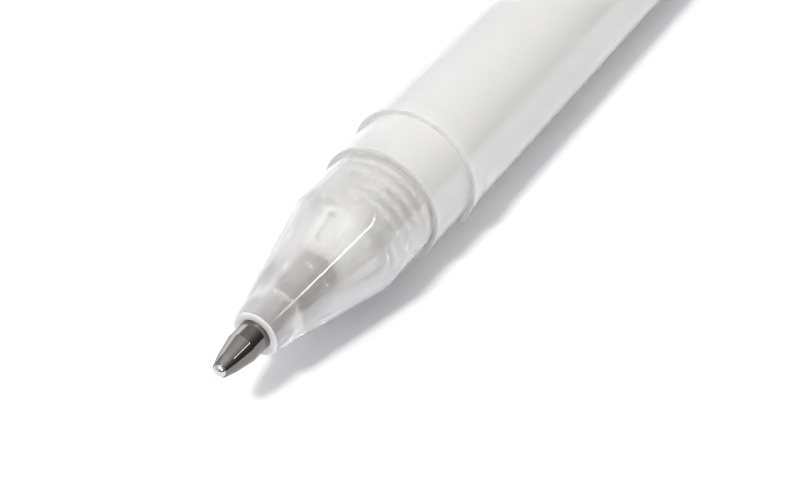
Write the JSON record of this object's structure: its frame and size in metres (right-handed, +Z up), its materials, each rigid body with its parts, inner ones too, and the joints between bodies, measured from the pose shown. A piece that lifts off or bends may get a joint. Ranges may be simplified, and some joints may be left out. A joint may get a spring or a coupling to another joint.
{
  "type": "fabric marking pen",
  "caption": "Round marking pen for cloth: metal ball point in a frosted screw-off nose cone, milky barrel, clip cap pushed onto the tail.",
  "frame": {"origin": "centre of the pen's footprint on the table it lies on", "axes": "+X along the pen from the writing ball to the capped tail, +Z up from the table"},
  "size_m": [0.17, 0.014, 0.011],
  "materials": {
    "frosted_clear": "frosted clear polypropylene, glossy skin",
    "milky_barrel": "milky translucent, glossy skin",
    "white_plastic": "glossy white",
    "cap_plastic": "glossy white",
    "natural_plastic": "uncoloured, slightly translucent",
    "tube_plastic": "uncoloured translucent",
    "point_metal": "turned and polished",
    "ball": "polished hard metal",
    "spring_wire": "drawn wire",
    "ink": "opaque white liquid",
    "follower_grease": "clear grease",
    "pad_rubber": "soft, pale"
  },
  "bodies": {
    "barrel": {"barrel": "milky_barrel", "tail_plug": "white_plastic"},
    "refill": {"point_body": "point_metal", "point_spring": "spring_wire", "point_holder": "natural_plastic", "ink_tube": "tube_plastic", "ink_charge": "ink", "ink_follower": "follower_grease"},
    "nose": {"nose_cone": "frosted_clear"},
    "ball": {"writing_ball": "ball"},
    "cap": {"cap_shell": "cap_plastic", "cap_sleeve": "natural_plastic", "cap_pad": "pad_rubber", "cap_crown": "white_plastic"},
    "clip": {"cap_clip": "cap_plastic"}
  },
  "joints": [
    {"name": "refill_advance", "type": "slide", "parent": "barrel", "child": "refill", "axis": [-1, 0, 0], "range_m": [0, 0.0044]},
    {"name": "nose_unscrew", "type": "hinge", "parent": "refill", "child": "nose", "pos_m": [-0.08073, 0.00152, 0.0055], "axis": [-1, 0, 0], "range_deg": [0, 1440]},
    {"name": "ball_roll", "type": "hinge", "parent": "refill", "child": "ball", "pos_m": [-0.08453, 0.00152, 0.0055], "axis": [0, 1, 0], "continuous": true},
    {"name": "cap_slide", "type": "slide", "parent": "barrel", "child": "cap", "axis": [1, 0, 0], "range_m": [0, 0.03]},
    {"name": "clip_flex", "type": "hinge", "parent": "cap", "child": "clip", "pos_m": [0.08353, -0.00469, 0.00313], "axis": [0, -0.3567, 0.9342], "range_deg": [0, 4.5], "stiffness_Nm_per_rad": 0.6}
  ],
  "couplings": [
    {"joint": "nose_unscrew", "follows": "refill_advance", "rad_per_m": 5712}
  ]
}
